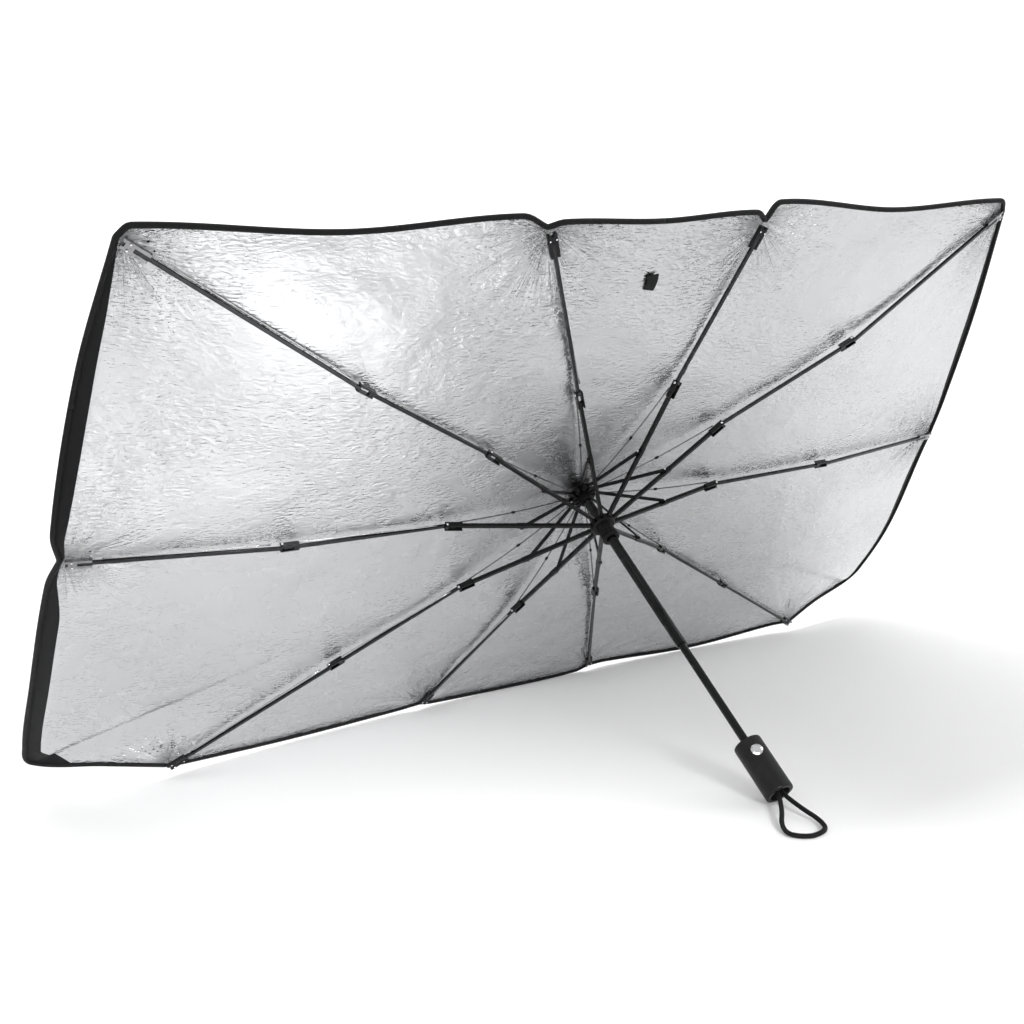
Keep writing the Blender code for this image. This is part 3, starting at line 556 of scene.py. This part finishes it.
COLUMNS, MARKS = lay_out()
INNER_RINGS = 36
MIDDLE_RINGS = 38
OUTER_RINGS = 50
HEM_RINGS = 4
SPLIT_ONE = INNER_RINGS
SPLIT_TWO = INNER_RINGS + MIDDLE_RINGS
SILVER_END = SPLIT_TWO + OUTER_RINGS
LAST_RING = SILVER_END + HEM_RINGS


def long_rib_share(azimuth):
    turn = [rib[1] for rib in RIBS]
    share = [1.0 if rib[4] else 0.0 for rib in RIBS]
    turn = [turn[-1] - 2 * math.pi] + turn + [turn[0] + 2 * math.pi]
    share = [share[-1]] + share + [share[0]]
    return np.interp(azimuth % (2 * math.pi), turn, share)


def cloth_noise(x, y, z, size):
    return noise.noise(Vector((x / size, y / size, z)))


def canopy_points():
    """Middle surface of the fabric as an array [column, ring, xyz] in umbrella coordinates."""
    edge = inset(EDGE, 0.0016)
    border, width = silver_outline()
    reach = around(edge, np.hypot(edge[:, 0], edge[:, 1]), COLUMNS)
    height = around(edge, edge[:, 2], COLUMNS)
    silver = around(border, np.hypot(border[:, 0], border[:, 1]), COLUMNS)
    silver = np.minimum(silver, reach - 0.0012)
    hem = around(border, width, COLUMNS)
    silver_height = height + CANT * hem
    first = KNUCKLE[0]
    second = first + (SECOND_KNUCKLE[0] - first) * np.minimum(1.0, (silver - first) / (0.55 - first))
    share = long_rib_share(COLUMNS)
    straight = FABRIC_HEIGHTS[1] + (silver_height - FABRIC_HEIGHTS[1]) * (second - first) / (silver - first)
    second_height = straight + (FABRIC_HEIGHTS[2] - straight) * share
    knots = np.stack([np.zeros_like(reach), np.full_like(reach, first), second, silver], 1)
    heights = np.stack([np.full_like(reach, FABRIC_HEIGHTS[0]), np.full_like(reach, FABRIC_HEIGHTS[1]),
                        second_height, silver_height], 1)
    secant = np.diff(heights, axis=1) / np.diff(knots, axis=1)
    slope = np.stack([secant[:, 0], (secant[:, 0] + secant[:, 1]) / 2, (secant[:, 1] + secant[:, 2]) / 2,
                      secant[:, 2]], 1)
    rings = []
    for piece, count in enumerate((INNER_RINGS, MIDDLE_RINGS, OUTER_RINGS)):
        low = knots[:, piece] if piece else np.full_like(reach, FABRIC_HOLE)
        high = knots[:, piece + 1]
        for step in range(count + (piece == 2)):
            radius = low + (high - low) * step / count
            span = high - knots[:, piece]
            t = (radius - knots[:, piece]) / span
            z = (heights[:, piece] * (2 * t**3 - 3 * t**2 + 1)
                 + slope[:, piece] * span * (t**3 - 2 * t**2 + t)
                 + heights[:, piece + 1] * (3 * t**2 - 2 * t**3)
                 + slope[:, piece + 1] * span * (t**3 - t**2))
            rings.append(np.stack([radius, z], 1))
    for step in range(1, HEM_RINGS + 1):
        t = step / HEM_RINGS
        rings.append(np.stack([silver + (reach - silver) * t,
                               silver_height + (height - silver_height) * t], 1))
    table = np.stack(rings, 1)
    x = table[..., 0] * np.cos(COLUMNS)[:, None]
    y = table[..., 0] * np.sin(COLUMNS)[:, None]
    return np.stack([x, y, table[..., 1]], 2), reach


def wrinkle(points, reach):
    """Add the cloth's slack: soft waves all over and folds that fan out from the rib tips."""
    radius = np.hypot(points[..., 0], points[..., 1])
    calm = smoothstep(0.0, 0.030, reach[:, None] - radius) * smoothstep(0.02, 0.08, radius)
    lift = np.zeros(radius.shape)
    for c in range(points.shape[0]):
        for r in range(points.shape[1]):
            x, y = points[c, r, 0], points[c, r, 1]
            wave = cloth_noise(x, y, 1.7, 0.11) * 0.0016 + cloth_noise(x, y, 4.1, 0.045) * 0.00065
            crest = 1.0 - abs(cloth_noise(x, y, 9.3, 0.024)) * 2.2
            lift[c, r] = (wave + crest * 0.00018) * calm[c, r]
    for k, (_, azimuth, tip_radius, _, _) in enumerate(RIBS):
        tip = np.array([tip_radius * math.cos(azimuth), tip_radius * math.sin(azimuth)]) * 0.992
        dx, dy = points[..., 0] - tip[0], points[..., 1] - tip[1]
        distance = np.hypot(dx, dy)
        angle = np.arctan2(dy, dx) - azimuth
        fade = smoothstep(0.008, 0.030, distance) * np.exp(-distance / 0.055)
        phase = 2.2 * np.sin(angle * 3.0 + k * 1.9) + 9.0 * distance
        fold = np.sin(angle * 13.0 + phase) + 0.5 * np.sin(angle * 23.0 + 2.0 * phase + k)
        inside = smoothstep(0.0, 0.016, reach[:, None] - radius)
        lift += fold * fade * 0.0016 * inside
    points[..., 2] += lift
    return points


def grid_normals(points):
    """Smooth normals of a closed grid of columns and open rings, towards the silver side."""
    across = np.roll(points, -1, 0) - np.roll(points, 1, 0)
    outward = np.gradient(points, axis=1)
    normal = np.cross(outward, across)
    normal /= np.linalg.norm(normal, axis=2, keepdims=True)
    return normal


def fabric_piece(name, points, normals, columns, rings, tip=None):
    """A closed thin shell cut from the grid: silver face, dark hem, black back and rim."""
    count, depth = len(columns), len(rings)
    middle = points[np.ix_(columns, rings)]
    normal = normals[np.ix_(columns, rings)]
    front = (middle + normal * FABRIC_HALF).reshape(-1, 3)
    back = (middle - normal * FABRIC_HALF).reshape(-1, 3)
    total = count * depth
    places = to_row(np.concatenate([front, back]))
    directions = np.concatenate([normal.reshape(-1, 3), -normal.reshape(-1, 3)]) @ ROTATE

    def index(c, r):
        return c * depth + r

    faces, looks = [], []
    for c in range(count - 1):
        for r in range(depth - 1):
            quad = (index(c, r), index(c, r + 1), index(c + 1, r + 1), index(c + 1, r))
            faces.append(quad)
            looks.append(1 if rings[r] >= SILVER_END else 0)
            faces.append(tuple(total + i for i in reversed(quad)))
            looks.append(1)
    border = [index(c, 0) for c in range(count)]
    border += [index(count - 1, r) for r in range(1, depth)]
    border += [index(c, depth - 1) for c in range(count - 2, -1, -1)]
    border += [index(0, r) for r in range(depth - 2, 0, -1)]
    for a, b in zip(border, border[1:] + border[:1]):
        faces.append((a, b, total + b, total + a))
        looks.append(1)
    mesh = bpy.data.meshes.new(name)
    mesh.from_pydata(places.tolist(), [], faces)
    mesh.materials.append(SILVER)
    mesh.materials.append(OUTER_CLOTH)
    mesh.polygons.foreach_set("material_index", looks)
    mesh.shade_smooth()
    loops = np.zeros(len(mesh.loops), int)
    mesh.loops.foreach_get("vertex_index", loops)
    plan = np.concatenate([front, back])[:, :2]
    mesh.uv_layers.new(name="plan").data.foreach_set("uv", plan[loops].astype(np.float32).ravel())
    fan = np.tile([0.0, 1.0], (2 * total, 1))
    if tip is not None:
        offset = plan - tip[0]
        fan = np.stack([np.mod(np.arctan2(offset[:, 1], offset[:, 0]) - tip[1], 2 * math.pi) + 11.0 * tip[2],
                        np.hypot(offset[:, 0], offset[:, 1]) * tip[3]], 1)
    mesh.uv_layers.new(name="fan").data.foreach_set("uv", fan[loops].astype(np.float32).ravel())
    mesh.normals_split_custom_set_from_vertices(directions.tolist())
    obj = bpy.data.objects.new(name, mesh)
    bpy.context.scene.collection.objects.link(obj)
    width = float(np.linalg.norm(np.diff(middle[:, -1], axis=0), axis=1).sum())
    length = float(np.linalg.norm(np.diff(middle[0], axis=0), axis=1).sum())
    a = middle[1:, 1:] - middle[:-1, :-1]
    b = middle[1:, :-1] - middle[:-1, 1:]
    area = float(np.linalg.norm(np.cross(a, b), axis=2).sum() / 2)
    length = max(length, area / width)
    return obj


def column_range(first, last):
    """Columns from one mark to another, both included, going round."""
    count = len(COLUMNS)
    start, end = MARKS[first % len(MARKS)], MARKS[last % len(MARKS)]
    if end <= start:
        end += count
    return [c % count for c in range(start, end + 1)]


def make_canopy():
    points, reach = canopy_points()
    points = wrinkle(points, reach)
    normals = grid_normals(points)
    inner = list(range(0, SPLIT_ONE + 1))
    for i in range(len(MARKS)):
        columns = column_range(i, i + 1)
        name = RIBS[((i + 1) // 2) % len(RIBS)][0]
        place = "before" if i % 2 else "after"
        obj = fabric_piece(f"cloth_inner_{name}_{place}", points, normals, columns, inner)
        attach(obj, "root")
        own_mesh(obj)
    for k, (name, azimuth, tip_radius, _, three) in enumerate(RIBS):
        columns = column_range(2 * k - 1, 2 * k + 1)
        shrink = LOWER_FAN if name.endswith("_lower") else 1.0
        tip = (np.array([math.cos(azimuth), math.sin(azimuth)]) * tip_radius * 0.992, azimuth, k, shrink)
        cuts = [("outer", SPLIT_ONE, LAST_RING)]
        if three:
            cuts = [("middle", SPLIT_ONE, SPLIT_TWO), ("outer", SPLIT_TWO, LAST_RING)]
        for body, start, end in cuts:
            obj = fabric_piece(f"cloth_{body}_{name}", points, normals, columns, list(range(start, end + 1)),
                               tip if body == "outer" else None)
            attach(obj, f"{body}_{name}")
            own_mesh(obj)
    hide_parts("canopy")


# ---------------------------------------------------------------- swept pieces
def sweep(name, route, up, section, finish, closed_ends=True):
    """A tube along a route in umbrella coordinates. section is a list of (across, up) offsets."""
    route = np.asarray(route, float)
    along = np.gradient(route, axis=0)
    along /= np.linalg.norm(along, axis=1, keepdims=True)
    across = np.cross(along, np.broadcast_to(up, route.shape))
    across /= np.linalg.norm(across, axis=1, keepdims=True)
    lift = np.cross(across, along)
    section = np.asarray(section, float)
    rings = (route[:, None] + across[:, None] * section[None, :, :1] + lift[:, None] * section[None, :, 1:])
    sides = len(section)
    faces = []
    for i in range(len(route) - 1):
        for s in range(sides):
            a, b = i * sides + s, i * sides + (s + 1) % sides
            faces.append((a, b, b + sides, a + sides))
    if closed_ends:
        faces.append(tuple(range(sides - 1, -1, -1)))
        faces.append(tuple(range((len(route) - 1) * sides, len(route) * sides)))
    mesh = bpy.data.meshes.new(name)
    mesh.from_pydata(to_row(rings.reshape(-1, 3)).tolist(), [], faces)
    shape = bmesh.new()
    shape.from_mesh(mesh)
    bmesh.ops.recalc_face_normals(shape, faces=shape.faces)
    shape.to_mesh(mesh)
    shape.free()
    mesh.materials.append(finish)
    mesh.shade_smooth()
    travelled = np.concatenate([[0.0], np.cumsum(np.linalg.norm(np.diff(route, axis=0), axis=1))])
    turns = np.linspace(0.0, 2 * math.pi * PIPING_RADIUS, sides, endpoint=False)
    loops = np.zeros(len(mesh.loops), int)
    mesh.loops.foreach_get("vertex_index", loops)
    uv = np.stack([np.repeat(travelled, sides), np.tile(turns, len(route))], 1)
    mesh.uv_layers.new(name="plan").data.foreach_set("uv", uv[loops].astype(np.float32).ravel())
    obj = bpy.data.objects.new(name, mesh)
    bpy.context.scene.collection.objects.link(obj)
    return obj


def oval(width, height, sides):
    turn = np.linspace(0.0, 2 * math.pi, sides, endpoint=False)
    return np.stack([width * np.cos(turn), height * np.sin(turn)], 1)


def make_piping():
    turn = azimuths(EDGE)
    period = 2 * math.pi
    fine = np.concatenate([EDGE, EDGE, EDGE])
    fine_turn = np.concatenate([turn - period, turn, turn + period])
    for k, (name, azimuth, _, _, _) in enumerate(RIBS):
        low = COLUMNS[MARKS[(2 * k - 1) % len(MARKS)]]
        high = COLUMNS[MARKS[(2 * k + 1) % len(MARKS)]]
        while low > azimuth:
            low -= period
        while high < azimuth:
            high += period
        ends = [np.array([np.interp(t, fine_turn, fine[:, i]) for i in range(3)]) for t in (low, high)]
        chosen = fine[(fine_turn > low + 1e-6) & (fine_turn < high - 1e-6)]
        route = np.concatenate([ends[:1], chosen[1:-1], ends[1:]])
        steps = np.linalg.norm(np.diff(route, axis=0), axis=1)
        travelled = np.concatenate([[0.0], np.cumsum(steps)])
        spots = np.linspace(0.0, travelled[-1], math.ceil(travelled[-1] / 0.0036) + 1)
        route = np.stack([np.interp(spots, travelled, route[:, i]) for i in range(3)], 1)
        piping = sweep("piping_" + name, route, UP, oval(0.0031, 0.0037, 14), BINDING)
        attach(piping, "outer_" + name)
        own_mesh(piping)
        if k == 0:
            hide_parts("edge_piping")


# ---------------------------------------------------------------- small parts
def rib_frame(azimuth):
    """Unit vectors of a rib's plane in umbrella coordinates: outwards and across."""
    outward = np.array([math.cos(azimuth), math.sin(azimuth), 0.0])
    return outward, np.array([-outward[1], outward[0], 0.0])


def add_piece(name, shape, finish):
    """Carry a bmesh in umbrella coordinates into the row frame, as an object with one material."""
    mesh = bpy.data.meshes.new(name)
    shape.to_mesh(mesh)
    shape.free()
    mesh.transform(TO_ROW)
    mesh.materials.append(finish)
    mesh.shade_smooth()
    obj = bpy.data.objects.new(name, mesh)
    bpy.context.scene.collection.objects.link(obj)
    return obj


def domes(name, places, axis, radius, height, finish, slot):
    """Small domed rivet heads at places in umbrella coordinates, facing both ways along an axis."""
    shape = bmesh.new()
    for place, way in places:
        turn = Vector(np.asarray(axis) * way).to_track_quat("Z", "Y").to_matrix().to_4x4()
        matrix = Matrix.Translation(Vector(place)) @ turn @ Matrix.Diagonal((radius, radius, height, 1.0))
        bmesh.ops.create_uvsphere(shape, u_segments=16, v_segments=10, radius=1.0, matrix=matrix)
    return add_piece(name, shape, finish)


def joint_place(joint):
    """A joint's own point in umbrella coordinates."""
    return np.array(tuple(TO_ROW.inverted() @ Vector(JOINTS[joint]["pos_m"])))


def make_rivets():
    """Bright pin heads at the knuckles and tip clips, and at each strut's rivet."""
    for name, azimuth, tip_radius, tip_height, three in RIBS:
        outward, across = rib_frame(azimuth)
        first = joint_place(f"middle_hinge_{name}" if three else f"outer_hinge_{name}")
        half = KNUCKLE_PIN_HALF
        heads = [(first + across * half * way, way) for way in (1, -1)]
        start = joint_place(f"stretcher_hinge_{name}")
        spot = start + (first - start) * RIVET_SHARE
        spot[2] -= 0.0018
        heads.append((spot + across * 0.0052, 1))
        piece = domes("rivets_" + name, heads, across, *RIVET_HEAD, RIVET_METAL, "rib_metal")
        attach(piece, "stretcher_" + name)
        if three:
            second = joint_place(f"outer_hinge_{name}")
            heads = [(second + across * half * way, way) for way in (1, -1)]
            piece = domes("middle_rivets_" + name, heads, across, *RIVET_HEAD, RIVET_METAL, "rib_metal")
            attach(piece, "middle_" + name)
        tip = outward * (tip_radius - PIPING_RADIUS - CLIP_TO_TIP)
        tip[2] = tip_height + CLIP_HEIGHT
        heads = [(tip + outward * 0.006 + across * 0.0037 * way, 1) for way in (1, -1)]
        heads.append((tip - outward * 0.009 + across * 0.0037, 1))
        piece = domes("clip_rivets_" + name, heads, UP, *CLIP_HEAD, RIVET_METAL, "rib_metal")
        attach(piece, "outer_" + name)


def make_guide_wires():
    """Thin wires from the crown to the first knuckles, close to the cloth, each with a tied knot."""
    for name, azimuth, _, _, _ in RIBS:
        outward, across = rib_frame(azimuth)
        route = []
        for t in np.linspace(0.0, 1.0, 24):
            radius = WIRE_FROM + (WIRE_TO - WIRE_FROM) * t
            height = 0.0005 + 0.0125 * t + 0.0035 * math.sin(math.pi * t)
            route.append(outward * radius + across * 0.0012 + np.array([0.0, 0.0, height]))
        wire = sweep("guide_wire_" + name, route, UP, oval(*WIRE_SECTION), WIRE_DARK)
        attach(wire, "root")
        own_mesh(wire)
        middle = [(route[12], 1)]
        knot = domes("wire_knot_" + name, middle, outward, 0.0019, 0.0034, BLACK_METAL, "black_metal")
        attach(knot, "root")
        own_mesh(knot)


def make_rib_wires_and_highlights():
    """A thin bright wire along the side of every middle and outer rib: partly a real wire, partly a painted
    highlight for the light line along the rib's edge.
    """
    for name, azimuth, tip_radius, tip_height, three in RIBS:
        outward, across = rib_frame(azimuth)
        tip = outward * (tip_radius - 0.030) + np.array([0.0, 0.0, tip_height + 0.0085])
        second = joint_place(f"outer_hinge_{name}")
        runs = [("outer_" + name, second, tip)]
        if three:
            runs.append(("middle_" + name, joint_place(f"middle_hinge_{name}"), second))
        for body, start, end in runs:
            along = (end - start) / np.linalg.norm(end - start)
            start, end = start + along * 0.013, end - along * 0.013
            side = across * WIRE_ASIDE - np.array([0.0, 0.0, 0.0012])
            route = [start + (end - start) * t + side for t in np.linspace(0.0, 1.0, 12)]
            wire = sweep("wire_" + body, route, UP, oval(*BRIGHT_SECTION), WIRE_AND_HIGHLIGHT)
            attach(wire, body)


def make_strap():
    """A short tab of webbing with softened edges, slightly bent."""
    low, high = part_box("hook_loop_strap")
    centre = np.array(tuple(TO_ROW.inverted() @ ((low + high) / 2)))
    route = []
    for t in np.linspace(0.0, 1.0, 15):
        bend = (0.0012 * math.sin(3 * t), (t - 0.5) * 0.0205, 0.0006 * math.sin(math.pi * t))
        route.append(centre + np.array(bend))
    half, thin = STRAP_HALF, 0.0004
    outline = [(-half, -thin), (-half, thin), (half, thin), (half, -thin)]
    strap = sweep("strap_tab", route, UP, outline, STRAP_CLOTH)
    bevel = strap.modifiers.new("soft_edges", "BEVEL")
    bevel.width = 0.0002
    bevel.segments = 2
    bpy.context.view_layer.update()
    mesh = bpy.data.meshes.new_from_object(strap.evaluated_get(bpy.context.evaluated_depsgraph_get()))
    strap.modifiers.clear()
    strap.data = mesh
    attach(strap, "outer_right_top")
    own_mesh(strap)
    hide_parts("hook_loop_strap")


def make_runner_details():
    """Two rounded bars on the runner's collar, for its latch."""
    shape = bmesh.new()
    for angle, length in ((math.radians(-35.0), 0.030), (math.radians(145.0), 0.020)):
        turn = Matrix.Rotation(angle, 4, "Z")
        place = Matrix.Translation((0.0128, 0.0, 0.0700)) @ Matrix.Diagonal((0.0030, 0.0064, length, 1.0))
        bmesh.ops.create_cube(shape, size=1.0, matrix=turn @ place)
    bmesh.ops.bevel(shape, geom=shape.edges[:], offset=0.0009, segments=3, affect="EDGES", profile=0.6)
    lever = add_piece("runner_lever", shape, HUB_PLASTIC)
    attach(lever, "runner")


# ---------------------------------------------------------------- cord
def make_wrist_loop():
    def smooth_route(points, steps):
        ends = [points[0] * 2 - points[1]] + points + [points[-1] * 2 - points[-2]]
        route = []
        for i in range(1, len(ends) - 2):
            a, b, c, d = ends[i - 1:i + 3]
            for step in range(steps):
                t = step / steps
                route.append((b * 2 + (c - a) * t + (a * 2 - b * 5 + c * 4 - d) * t**2
                              + (b * 3 - a - c * 3 + d) * t**3) / 2)
        route.append(points[-1])
        return route

    half = [Vector((side, -out, up)) for side, out, up in LOOP_ROUTE]
    mirrored = [Vector((-p.x, p.y, p.z)) for p in half[-2::-1]]
    foot = ORIGIN + AXIS_Z * HANDLE_BOTTOM
    foot.z = 0.0
    turn = Matrix.Rotation(LOOP_TURN, 3, "Z")
    route = [foot + turn @ point for point in smooth_route(half + mirrored, 3)]
    curve = bpy.data.curves.new("wrist_cord", "CURVE")
    curve.dimensions = "3D"
    curve.bevel_depth = LOOP_RADIUS
    curve.bevel_resolution = 6
    curve.resolution_u = 6
    curve.use_fill_caps = True
    spline = curve.splines.new("BEZIER")
    spline.bezier_points.add(len(route) - 1)
    for knot, point in zip(spline.bezier_points, route):
        knot.co = point
        knot.handle_left_type = knot.handle_right_type = "AUTO"
    curve.materials.append(CORD_CLOTH)
    cord = bpy.data.objects.new("wrist_cord", curve)
    bpy.context.scene.collection.objects.link(cord)
    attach(cord, "handle")
    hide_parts("wrist_loop")


make_camera()
make_studio()
paint_nodes()
make_wrist_loop()
make_canopy()
make_piping()
make_rivets()
make_guide_wires()
make_rib_wires_and_highlights()
make_strap()
make_runner_details()
